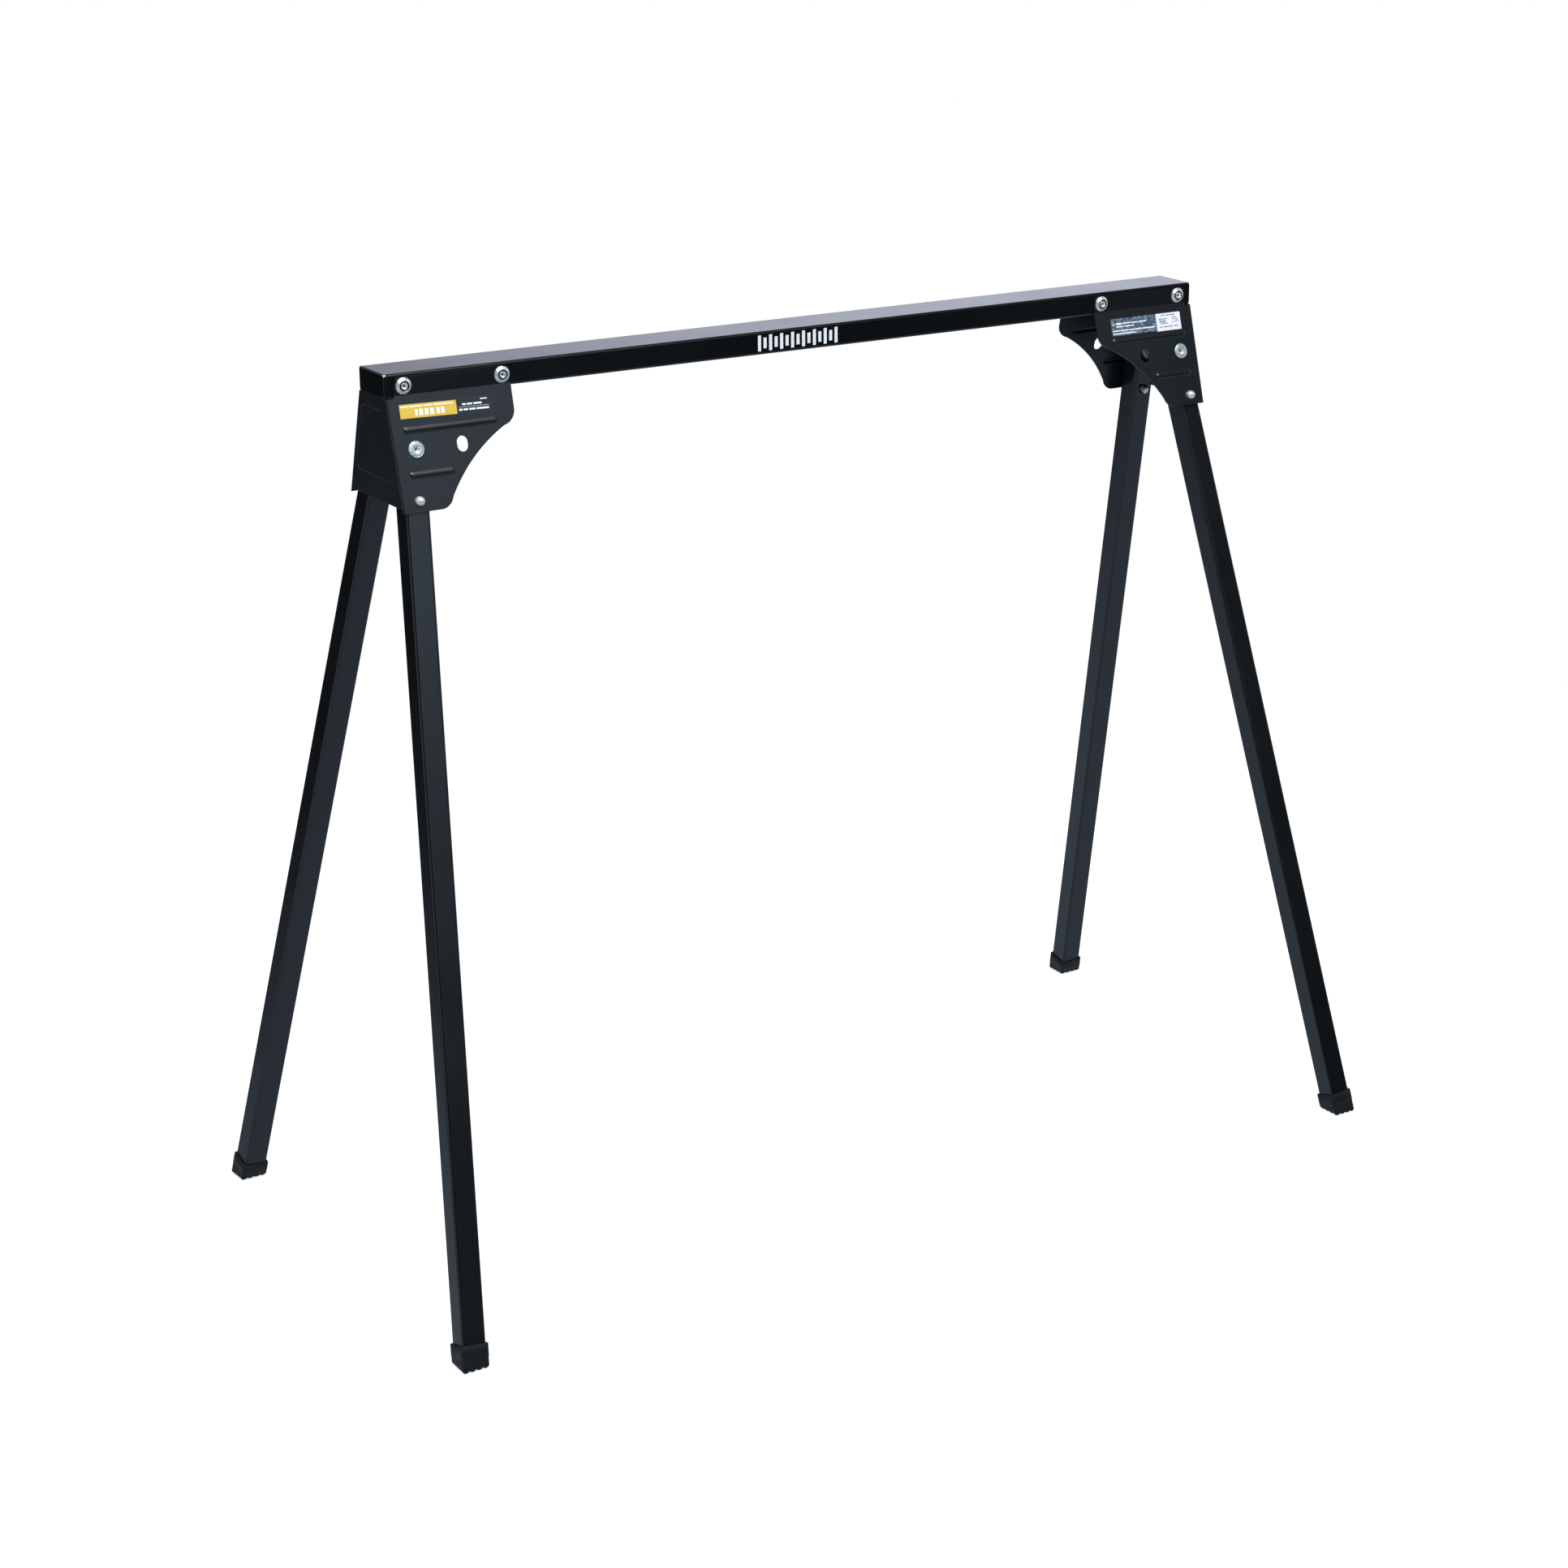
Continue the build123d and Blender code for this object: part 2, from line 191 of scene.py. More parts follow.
def spread(tree, source, low, high, fromLow=0.3, fromHigh=0.7, smooth=False):
    # spreads one range of a value over another
    node = tree.nodes.new("ShaderNodeMapRange")
    if smooth:
        node.interpolation_type = "SMOOTHSTEP"
    node.inputs["From Min"].default_value = fromLow
    node.inputs["From Max"].default_value = fromHigh
    node.inputs["To Min"].default_value = low
    node.inputs["To Max"].default_value = high
    tree.links.new(source, node.inputs["Value"])
    return node.outputs["Result"]


def mathNode(tree, operation, first, second):
    node = tree.nodes.new("ShaderNodeMath")
    node.operation = operation
    for socket, value in zip(node.inputs, (first, second)):
        if isinstance(value, (int, float)):
            socket.default_value = value
        else:
            tree.links.new(value, socket)
    return node.outputs["Value"]


def colourBetween(tree, source, first, second, low=0.3, high=0.7):
    ramp = tree.nodes.new("ShaderNodeValToRGB")
    ramp.color_ramp.elements[0].position = low
    ramp.color_ramp.elements[0].color = (*first, 1)
    ramp.color_ramp.elements[1].position = high
    ramp.color_ramp.elements[1].color = (*second, 1)
    tree.links.new(source, ramp.inputs["Fac"])
    return ramp.outputs["Color"]


def bumpFrom(tree, source, strength, distance, normal=None):
    bump = tree.nodes.new("ShaderNodeBump")
    bump.inputs["Strength"].default_value = strength
    bump.inputs["Distance"].default_value = distance * mm
    tree.links.new(source, bump.inputs["Height"])
    if normal is not None:
        tree.links.new(normal, bump.inputs["Normal"])
    return bump.outputs["Normal"]


def mixed(tree, share, first, second):
    # two colours mixed by a mask or a plain share; sockets 0, 6 and 7 are the share and the colours
    mix = tree.nodes.new("ShaderNodeMix")
    mix.data_type = "RGBA"
    for index, value in ((0, share), (6, first), (7, second)):
        if isinstance(value, tuple):
            mix.inputs[index].default_value = (*value, 1)
        elif isinstance(value, float):
            mix.inputs[index].default_value = value
        else:
            tree.links.new(value, mix.inputs[index])
    return mix.outputs[2]


# black powder coat on the beam, the brackets and the legs; lengths in millimetres
paintValues = {
    "dark": (0.0030, 0.0034, 0.0038),
    "light": (0.0048, 0.0056, 0.0062),
    "bareSteel": (0.62, 0.60, 0.57),
    "cloudScale": 9,
    "speckleShare": 0.45,
    "speckleRange": (0.42, 0.7),
    "edgeRounding": 0.35,
    "peelStrength": 0.25,
    "grainStrength": 0.35,
}

# bare steel where the coat has chipped near the beam's top corners
chipValues = {
    "fromEnd": 0.4,
    "fromWall": 1.1,
    "fromTop": 1.0,
    "radius": 1.9,
    "solidShare": 0.55,
    "raggedScale": 900,
}


def chipPlaces(values):
    low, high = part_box("beam")
    z = high.z - values["fromTop"] * mm
    places = []
    for endX in (low.x, high.x):
        for wallY in (low.y, high.y):
            x = endX - math.copysign(values["fromEnd"] * mm, endX)
            y = wallY - math.copysign(values["fromWall"] * mm, wallY)
            places.append((x, y, z))
    return places


def chipMask(tree, places, values):
    # 1 inside small ragged patches about a list of points, 0 elsewhere
    coords = tree.nodes.new("ShaderNodeTexCoord")
    ragged = noise(tree, values["raggedScale"], 3, 0.6)
    radius = values["radius"] * mm
    total = None
    for point in places:
        gap = tree.nodes.new("ShaderNodeVectorMath")
        gap.operation = "DISTANCE"
        gap.inputs[1].default_value = point
        tree.links.new(coords.outputs["Object"], gap.inputs[0])
        patch = spread(tree, gap.outputs["Value"], 1, 0, radius * values["solidShare"], radius)
        total = patch if total is None else mathNode(tree, "MAXIMUM", total, patch)
    torn = mathNode(tree, "MULTIPLY", total, spread(tree, ragged, 0.4, 2.2, 0.3, 0.6))
    return spread(tree, torn, 0, 1, 0.45, 0.6)


def makePaint(name, grain, grainHeight, rough, chipped=()):
    # satin coat with soft orange peel, a fine grain, and bare metal where it has chipped
    values = paintValues
    dark, light = values["dark"], values["light"]
    material, tree, shader = newMaterial(name)
    cloudy = noise(tree, values["cloudScale"], 4, 0.55)
    fine = noise(tree, grain, 2, 0.6)
    peel = noise(tree, grain / 4, 2, 0.5)
    base = colourBetween(tree, cloudy, dark, light)
    speckle = colourBetween(tree, fine, dark, light, *values["speckleRange"])
    colour = mixed(tree, values["speckleShare"], base, speckle)
    rounded = tree.nodes.new("ShaderNodeBevel")
    rounded.samples = 4
    rounded.inputs["Radius"].default_value = values["edgeRounding"] * mm
    peeled = bumpFrom(tree, peel, values["peelStrength"], grainHeight * 2, rounded.outputs["Normal"])
    grained = bumpFrom(tree, fine, values["grainStrength"], grainHeight, peeled)
    if chipped:
        mask = chipMask(tree, chipped, chipValues)
        colour = mixed(tree, mask, colour, values["bareSteel"])
        tree.links.new(mask, shader.inputs["Metallic"])
    tree.links.new(colour, shader.inputs["Base Color"])
    tree.links.new(spread(tree, cloudy, *rough), shader.inputs["Roughness"])
    tree.links.new(grained, shader.inputs["Normal"])
    return material


beamPaint = makePaint("beamPaint", 1500, grainHeight=0.03, rough=(0.18, 0.24), chipped=chipPlaces(chipValues))
bracketPaint = makePaint("bracketPaint", 1700, grainHeight=0.085, rough=(0.28, 0.36))
legPaint = makePaint("legPaint", 1500, grainHeight=0.04, rough=(0.22, 0.29))
print("paint mixed")


# the small hardware's finishes and a painted shade for recesses: two colours, roughness, scale of patches and
# grain, height of grain
finishValues = {
    "screwZinc": {
        "colours": ((0.66, 0.68, 0.68), (0.86, 0.87, 0.86)), "rough": (0.26, 0.36), "metallic": 0.72,
        "patch": 220, "grain": 1800, "grainHeight": 0.01,
    },
    "boltZinc": {
        "colours": ((0.20, 0.26, 0.27), (0.74, 0.80, 0.79)), "rough": (0.34, 0.48), "metallic": 0.6,
        "patch": 800, "grain": 1500, "grainHeight": 0.08,
    },
    "pinSteel": {
        "colours": ((0.72, 0.71, 0.69), (0.84, 0.82, 0.79)), "rough": (0.2, 0.3), "metallic": 0.6,
        "patch": 220, "grain": 1400, "grainHeight": 0.01,
    },
    "springSteel": {
        "colours": ((0.32, 0.32, 0.34), (0.45, 0.45, 0.46)), "rough": (0.25, 0.4), "metallic": 0.72,
        "patch": 220, "grain": 900, "grainHeight": 0.02,
    },
    # not a finish: a near-black painted shade for the screw grooves and the socket pits, where shade falls
    "socketPaintedShade": {
        "colours": ((0.02, 0.03, 0.03), (0.05, 0.07, 0.07)), "rough": (0.4, 0.6), "metallic": 0.72,
        "patch": 220, "grain": 900, "grainHeight": 0.02,
    },
    "nylon": {
        "colours": ((0.70, 0.69, 0.63), (0.80, 0.79, 0.74)), "rough": (0.42, 0.55),
        "patch": 120, "grain": 900, "grainHeight": 0.02,
    },
    "rubber": {
        "colours": ((0.0030, 0.0036, 0.0038), (0.0070, 0.0082, 0.0084)), "rough": (0.42, 0.6),
        "patch": 120, "grain": 1200, "grainHeight": 0.08, "specular": 0.32,
    },
}


def makeFinish(name, values):
    # gloss varies with the grain on metal, and with the patches on everything else
    material, tree, shader = newMaterial(name)
    patches = noise(tree, values["patch"], 4, 0.6)
    fine = noise(tree, values["grain"], 3, 0.6)
    uneven = fine if "metallic" in values else patches
    tree.links.new(colourBetween(tree, patches, *values["colours"]), shader.inputs["Base Color"])
    tree.links.new(spread(tree, uneven, *values["rough"]), shader.inputs["Roughness"])
    tree.links.new(bumpFrom(tree, fine, 0.4, values["grainHeight"]), shader.inputs["Normal"])
    shader.inputs["Metallic"].default_value = values.get("metallic", 0)
    shader.inputs["Specular IOR Level"].default_value = values.get("specular", 0.5)
    return material


finishes = {name: makeFinish(name, values) for name, values in finishValues.items()}
print("metals, nylon and rubber mixed")


def dress(node, material):
    # a piece whose shape is kept from the frame gets its finish
    piece = frame["nodes"][node]
    if not piece.material_slots:
        piece.data.materials.append(material)
    for holder in piece.material_slots:
        holder.material = material


dress("beam", beamPaint)
for bracket in ("bracket_left", "bracket_right"):
    dress(bracket, bracketPaint)
dress("beam_nuts", finishes["boltZinc"])
dress("pivot_nuts", finishes["boltZinc"])
dress("pivot_washers", finishes["nylon"])
for cornerName in cornerNames:
    dress("leg_tube_" + cornerName, legPaint)
    dress("pivot_bush_" + cornerName, finishes["boltZinc"])
    dress("pin_clip_" + cornerName, finishes["boltZinc"])
print("frame dressed")


# where the wings, legs and pins are comes from the joints
joints = {joint["name"]: joint for joint in frame["joints"]}


def boxMiddle(node):
    low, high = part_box(node)
    return (low + high) / 2


def wingPlace(cornerName):
    # on the wing's outer face at the leg's pivot: x along the beam, z outwards
    pivot = joints["fold_" + cornerName]["pos_m"]
    outward = joints["press_" + cornerName]["axis"]
    return placeMatrix(pivot, outward, (1, 0, 0))


def legPlace(cornerName):
    # at the pivot's height on the leg's centre line: x down the leg, z outwards
    wing = wingPlace(cornerName)
    pivot = wing.translation
    outward = wing.to_3x3().col[2]
    offset = boxMiddle("leg_tube_" + cornerName) - pivot
    depth = outward * offset.dot(outward)
    return placeMatrix(pivot + depth, outward, offset - depth)


# flanged button screws through the bracket tabs; outlines are (radius, height, hex share) in millimetres
screwValues = {
    "flangeRadius": 6.8,
    "headHeight": 3.3,
    "spacing": 87.1,
    "firstTurn": 23,
    "turnPerMetre": 61,
    "flange": [
        (0, -9.0, 0), (2.5, -9.0, 0), (3.0, -8.5, 0), (3.0, -0.01, 0), (6.4, 0.0, 0), (6.75, 0.12, 0),
        (6.8, 0.4, 0), (6.72, 0.7, 0), (6.5, 0.9, 0), (6.1, 1.1, 0), (5.6, 1.45, 0), (5.2, 1.8, 0),
        (4.95, 2.05, 0), (4.7, 2.25, 0), (4.45, 2.32, 0), (4.3, 2.25, 0),
    ],
    "groove": [
        (4.3, 2.25, 0), (4.22, 2.0, 0), (4.1, 1.1, 0), (3.95, 0.9, 0), (3.1, 0.9, 0), (2.98, 1.1, 0),
        (2.92, 2.2, 0),
    ],
    "socket": [
        (2.92, 2.2, 0), (2.85, 2.45, 0), (2.7, 2.6, 0), (2.55, 2.55, 0), (2.45, 2.4, 0),
        (2.1, 1.9, 1), (1.9, 1.2, 1), (1.0, 0.8, 0.5),
    ],
    "pit": [(1.0, 0.8, 0.5), (0, 0.3, 0)],
    "weld": 0.002,
}


def addScrews(values):
    bm = bmesh.new()
    low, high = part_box("beam_screws")
    middle = (low.z + high.z) / 2
    outer = high.x - values["flangeRadius"] * mm
    headTop = values["headHeight"] * mm
    for face in (-1, 1):
        tabY = face * (high.y - headTop)
        for x in (outer, outer - values["spacing"] * mm):
            for side in (-1, 1):
                place = placeMatrix((side * x, tabY, middle), (0, face, 0), (1, 0, 0))
                turn = values["firstTurn"] + values["turnPerMetre"] * x * side
                place = place @ Matrix.Rotation(math.radians(turn), 4, "Z")
                turnPiece(bm, place, values["flange"])
                # the groove ring and the pit get a near-black painted shade, standing in for the shade in
                # these recesses
                turnPiece(bm, place, values["groove"], material=1)
                turnPiece(bm, place, values["socket"])
                turnPiece(bm, place, values["pit"], material=1)
    bmesh.ops.remove_doubles(bm, verts=bm.verts, dist=values["weld"] * mm)
    screws = meshPiece("beamScrews", bm, [finishes["screwZinc"], finishes["socketPaintedShade"]], 32)
    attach(screws, "frame")
    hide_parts("beam_screws")


addScrews(screwValues)
print("beam screws turned")


# pivot bolts: a low flat head with a hexagon socket, and a plain shank through wing and leg
boltValues = {
    "firstTurn": 17,
    "turnPerBolt": 37,
    "head": [
        (0, -30.9, 0), (3.4, -30.9, 0), (4.0, -30.3, 0), (4.0, -0.01, 0), (6.6, 0.0, 0), (6.8, 0.15, 0),
        (6.8, 0.75, 0), (6.72, 1.0, 0), (6.5, 1.2, 0), (6.2, 1.28, 0), (5.95, 1.18, 0), (5.7, 1.18, 0),
        (5.5, 1.3, 0), (4.3, 1.36, 0), (3.4, 1.36, 0), (3.1, 1.3, 0), (2.95, 1.15, 0),
    ],
    "socket": [(2.95, 1.15, 0), (2.6, 0.7, 1), (2.3, 0.0, 1), (1.1, -0.5, 0.5)],
    "pit": [(1.1, -0.5, 0.5), (0, -1.0, 0)],
    "weld": 0.002,
}


def addPivotBolts(values):
    bm = bmesh.new()
    for index, cornerName in enumerate(cornerNames):
        turn = values["firstTurn"] + values["turnPerBolt"] * index
        place = wingPlace(cornerName) @ Matrix.Rotation(math.radians(turn), 4, "Z")
        turnPiece(bm, place, values["head"])
        turnPiece(bm, place, values["socket"], material=2)
        # the pit at the socket's bottom gets the near-black painted shade
        turnPiece(bm, place, values["pit"], material=1)
    bmesh.ops.remove_doubles(bm, verts=bm.verts, dist=values["weld"] * mm)
    metals = [finishes["boltZinc"], finishes["socketPaintedShade"], finishes["screwZinc"]]
    bolts = meshPiece("pivotBolts", bm, metals, 32)
    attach(bolts, "frame")
    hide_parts("pivot_bolts")


addPivotBolts(boltValues)
print("pivot bolts turned")


# domed pins that lock the legs open; heights are from the wing's outer face, in millimetres
pinValues = {
    "radius": 4.0,
    "tip": 5.0,
    "shoulder": -7.5,
    "shoulderEdge": 0.2,
    "stem": 3.0,
    "end": -29.1,
    "endEdge": 0.5,
    "domeSteps": 14,
}


def addLockPin(cornerName, values):
    bm = bmesh.new()
    wing = wingPlace(cornerName)
    outward = wing.to_3x3().col[2]
    clip = boxMiddle("pin_clip_" + cornerName)
    onFace = clip - outward * (clip - wing.translation).dot(outward)
    place = placeMatrix(onFace, outward, (1, 0, 0))
    stem, radius, end, shoulder = (values[key] for key in ("stem", "radius", "end", "shoulder"))
    profile = [(0, end, 0), (stem - values["endEdge"], end, 0), (stem, end + values["endEdge"], 0)]
    profile += [(stem, shoulder, 0), (radius - values["shoulderEdge"], shoulder, 0)]
    profile += [(radius, shoulder + values["shoulderEdge"], 0)]
    middle = values["tip"] - radius
    for step in range(values["domeSteps"]):
        angle = math.pi / 2 * step / values["domeSteps"]
        profile.append((radius * math.cos(angle), middle + radius * math.sin(angle), 0))
    profile.append((0, values["tip"], 0))
    turnPiece(bm, place, profile, 48)
    pin = meshPiece("lockPin_" + cornerName, bm, [finishes["pinSteel"]], 30)
    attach(pin, "pin_" + cornerName)
    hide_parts("lock_pin_" + cornerName)


for cornerName in cornerNames:
    addLockPin(cornerName, pinValues)
print("lock pins turned")


# coil springs behind the lock pins
springValues = {
    "radius": 5.2,
    "wire": 0.9,
    "turns": 6,
    "stepsPerTurn": 20,
    "wireSides": 10,
    "spareRoom": 0.15,
}


def coilRings(length, values):
    # rings of points round the wire of a coil about z, in millimetres, with its middle at zero
    rise = length - values["wire"]
    steps = values["turns"] * values["stepsPerTurn"]
    rings = []
    for step in range(steps + 1):
        angle = 2 * math.pi * step / values["stepsPerTurn"]
        radial = Vector((math.cos(angle), math.sin(angle), 0))
        tangent = Vector((-math.sin(angle), math.cos(angle), 0)) * values["radius"]
        along = tangent * 2 * math.pi * values["turns"] + Vector((0, 0, rise))
        level = along.normalized().cross(radial)
        middle = radial * values["radius"] + Vector((0, 0, rise * (step / steps - 0.5)))
        ring = []
        for side in range(values["wireSides"]):
            turn = 2 * math.pi * side / values["wireSides"]
            reach = (radial * math.cos(turn) + level * math.sin(turn)) * values["wire"] / 2
            ring.append(middle + reach)
        rings.append(ring)
    return rings


def addLockSpring(cornerName, values):
    press = joints["press_" + cornerName]
    outward = Vector(press["axis"])
    place = placeMatrix(boxMiddle("lock_spring_" + cornerName), outward, (1, 0, 0))
    low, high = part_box("lock_spring_" + cornerName)
    across = 2 * values["radius"] + values["wire"]
    length = ((high.y - low.y) / mm - across * abs(outward.z)) / abs(outward.y)
    bm = bmesh.new()
    rings = [[bm.verts.new(place @ (spot * mm)) for spot in ring] for ring in coilRings(length, values)]
    joinRings(bm, rings)
    bm.faces.new(rings[0])
    bm.faces.new(rings[-1])
    spring = meshPiece("lockSpring_" + cornerName, bm, [finishes["springSteel"]], 50)
    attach(spring, "leg_" + cornerName)
    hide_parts("lock_spring_" + cornerName)
    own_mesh(spring)


for cornerName in cornerNames:
    addLockSpring(cornerName, springValues)
print("lock springs wound")


# rubber boots: a rounded rim, a moulded line round the wall, and a sole of rounded studs
bootValues = {
    "tube": 20.8,
    "tubeCorner": 2.3,
    "tubeGap": 0.05,
    "sideWall": 1.6,
    "faceWall": 1.3,
    "corner": 1.9,
    "rim": 18.8,
    "mouthDrops": (1.0, 0.15),
    "rimInsetDrops": [(0.75, 0.0), (0.35, 0.02), (0.12, 0.15), (0.0, 0.45)],
    "lineDrop": 11.0,
    "lineStep": 0.22,
    "lineAbove": 0.25,
    "lineBelow": 0.5,
    "studs": 4,
    "studDepth": 1.9,
    "studRoundness": 0.55,
    "soleEdge": 1.3,
    "soleEdgeLifts": (1.0, 0.62, 0.34, 0.14, 0.03),
    "soleEdgeShare": 0.985,
    "aroundSteps": 96,
    "ringSteps": 26,
}


def roundedSquare(halfX, halfY, corner, share):
    # a point round a rounded rectangle, share from 0 to 1, evenly by angle
    angle = 2 * math.pi * share
    dx, dy = math.cos(angle), math.sin(angle)
    reach = min(halfX / max(abs(dx), 1e-9), halfY / max(abs(dy), 1e-9))
    x, y = dx * reach, dy * reach
    overX, overY = abs(x) - (halfX - corner), abs(y) - (halfY - corner)
    if overX > 0 and overY > 0:
        # slide in along the ray to the corner's arc
        cx, cy = halfX - corner, halfY - corner
        along = cx * abs(dx) + cy * abs(dy)
        inside = along * along - (cx * cx + cy * cy - corner * corner)
        reach = along + math.sqrt(max(inside, 0))
        x, y = dx * reach, dy * reach
    return Vector((x, y))


def soleHeight(x, y, halfX, halfY, values):
    # how far a stud's rounded underside stands above the floor, in millimetres
    waveX = abs(math.cos(math.pi * values["studs"] * (x + halfX) / (2 * halfX) + math.pi / 2))
    waveY = abs(math.cos(math.pi * values["studs"] * (y + halfY) / (2 * halfY) + math.pi / 2))
    full = min(waveX, 1) ** values["studRoundness"] * min(waveY, 1) ** values["studRoundness"]
    return values["studDepth"] * (1 - full)


def soleSpot(leg, across, outward, lift):
    # from a place in the leg's section, down the leg to a height above the floor
    down = leg.to_3x3().col[0]
    start = leg @ (Vector((0, across, outward)) * mm)
    return start + down * ((lift * mm - start.z) / down.z)


def bootRings(leg, values):
    halfX = values["tube"] / 2 + values["sideWall"]
    halfZ = values["tube"] / 2 + values["faceWall"]
    tubeHalf = values["tube"] / 2 - values["tubeGap"]
    floorReach = -leg.translation.z / leg.to_3x3().col[0].z / mm
    rimReach = floorReach - values["rim"]
    shares = [step / values["aroundSteps"] for step in range(values["aroundSteps"])]
    outer = [roundedSquare(halfX, halfZ, values["corner"], share) for share in shares]
    inner = [roundedSquare(tubeHalf, tubeHalf, values["tubeCorner"], share) for share in shares]

    def wallRing(outline, drop, inset=0.0):
        share = 1 - inset / halfX
        return [leg @ (Vector((rimReach + drop, p.x * share, p.y * share)) * mm) for p in outline]

    rings = [wallRing(inner, drop) for drop in values["mouthDrops"]]
    rings += [wallRing(outer, drop, inset) for inset, drop in values["rimInsetDrops"]]
    step = values["lineStep"]
    rings.append(wallRing(outer, values["lineDrop"] - values["lineAbove"]))
    rings.append(wallRing(outer, values["lineDrop"], step))
    rings.append(wallRing(outer, values["lineDrop"] + values["lineBelow"], step))
    lower = [p * (1 - step / halfX) for p in outer]

    def soleRing(pull, heightShare, lift=0.0):
        ring = []
        for p in lower:
            height = soleHeight(p.x * heightShare, p.y * heightShare, halfX, halfZ, values)
            ring.append(soleSpot(leg, p.x * pull, p.y * pull, height + lift))
        return ring

    edge = values["soleEdge"]
    for lift in values["soleEdgeLifts"]:
        pull = 1 - edge * (1 - math.sqrt(max(0, 1 - (1 - lift) ** 2))) / halfX
        rings.append(soleRing(pull, values["soleEdgeShare"], edge * lift))
    for index in range(values["ringSteps"], 0, -1):
        share = (1 - edge / halfX) * index / values["ringSteps"]
        rings.append(soleRing(share, share))
    middle = soleSpot(leg, 0, 0, soleHeight(0, 0, halfX, halfZ, values))
    return rings, middle


def addBoot(cornerName, values):
    bm = bmesh.new()
    rings, middle = bootRings(legPlace(cornerName), values)
    loops = [[bm.verts.new(spot) for spot in ring] for ring in rings]
    joinRings(bm, loops)
    tip = bm.verts.new(middle)
    last = loops[-1]
    for i in range(len(last)):
        bm.faces.new((last[i], last[(i + 1) % len(last)], tip))
    bm.faces.new(loops[0])
    boot = meshPiece("boot_" + cornerName, bm, [finishes["rubber"]], 55)
    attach(boot, "leg_" + cornerName)
    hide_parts("foot_" + cornerName)


for cornerName in cornerNames:
    addBoot(cornerName, bootValues)
print("boots moulded")


# label films and inks
inkValues = {
    "labelBlue": {
        "colours": ((0.004, 0.005, 0.008), (0.008, 0.010, 0.015)), "rough": (0.3, 0.4),
        "patch": 120, "grain": 500, "grainHeight": 0.05,
    },
    "labelYellow": {
        "colours": ((0.62, 0.40, 0.035), (0.70, 0.47, 0.05)), "rough": (0.38, 0.48),
        "patch": 120, "grain": 900, "grainHeight": 0.02,
    },
    "labelWhite": {
        "colours": ((0.74, 0.74, 0.76), (0.84, 0.84, 0.86)), "rough": (0.42, 0.52),
        "patch": 120, "grain": 900, "grainHeight": 0.02,
    },
    "labelGrey": {
        "colours": ((0.20, 0.20, 0.26), (0.42, 0.42, 0.50)), "rough": (0.45, 0.55),
        "patch": 120, "grain": 900, "grainHeight": 0.02,
    },
    "printWhite": {
        "colours": ((0.78, 0.78, 0.78), (0.86, 0.86, 0.86)), "rough": (0.4, 0.5),
        "patch": 120, "grain": 1200, "grainHeight": 0.02,
    },
}

warningBlueValues = {
    "wrinkle": 260,
    "stretch": (1, 1, 1.6),
    # the first colour is the film's own dark blue, the second a painted highlight on the wrinkles
    "colours": ((0.035, 0.06, 0.10), (0.26, 0.33, 0.42)),
    "colourRange": (0.46, 0.66),
    "rough": (0.26, 0.5),
    "bump": (0.5, 0.12),
}


def makeWarningBlue(values):
    # dark blue film with painted highlight streaks in its colour along fine wrinkles, which also set its
    # gloss and bump
    material, tree, shader = newMaterial("warningBlue")
    wrinkles = noise(tree, values["wrinkle"], 6, 0.75, values["stretch"])
    colour = colourBetween(tree, wrinkles, *values["colours"], *values["colourRange"])
    tree.links.new(colour, shader.inputs["Base Color"])
    tree.links.new(spread(tree, wrinkles, *values["rough"]), shader.inputs["Roughness"])
    tree.links.new(bumpFrom(tree, wrinkles, *values["bump"]), shader.inputs["Normal"])
    return material


inks = {name: makeFinish(name, values) for name, values in inkValues.items()}
warningBlue = makeWarningBlue(warningBlueValues)

# what each layer of a label lies between, in millimetres above the wing
labelLayers = {
    "film": (0.005, 0.09),
    "print": (0.085, 0.115),
    "overprint": (0.11, 0.135),
    "sign": (0.085, 0.125),
    "paper": (0.005, 0.11),
    "paperPrint": (0.105, 0.13),
}

# each bar is (start, end, top, bottom) in millimetres from the label's left upper corner,
# and the label is turned by the second number about a point at the first on its upper edge
loadLabelValues = {
    "crooked": (51.0, -1.2),
    "yellow": (1.3, 51.0, 1.2, 12.4),
    "smallBars": [(2.2, 9.2), (10.2, 21.5), (22.5, 30.5), (31.5, 48.5)],
    "smallLine": (2.6, 3.7),
    "boldBars": [(14.5, 16.6), (18.0, 21.4), (22.8, 26.2), (27.6, 31.0), (33.2, 36.0), (37.2, 40.2)],
    "boldLine": (5.6, 10.6),
    "whiteBars": [
        (72.5, 78.5, 1.6, 2.5),
        (56.0, 59.5, 4.6, 6.0), (60.5, 65.0, 4.6, 6.0), (66.0, 73.5, 4.6, 6.0),
        (52.6, 79.8, 7.3, 7.5),
        (52.8, 56.0, 8.8, 10.3), (57.0, 61.0, 8.8, 10.3), (62.0, 67.5, 8.8, 10.3), (68.5, 79.5, 8.8, 10.3),
    ],
}

# the triangle's corners are measured to the right and down
warningLabelValues = {
    "triangle": [(1.3, 6.4), (4.36, 6.4), (2.848, 2.8)],
    "lightBars": [
        (5.4, 12.0, 4.0, 5.6), (13.0, 22.0, 4.2, 5.3), (23.0, 30.0, 4.2, 5.3), (31.0, 40.0, 4.2, 5.3),
        (5.4, 14.0, 6.9, 7.9), (15.0, 26.0, 6.9, 7.9),
        (1.2, 9.0, 10.6, 11.7), (9.8, 19.0, 10.6, 11.7), (19.8, 34.0, 10.6, 11.7), (34.8, 49.5, 10.6, 11.7),
        (1.0, 12.0, 13.2, 14.3), (12.8, 27.0, 13.2, 14.3),
    ],
}

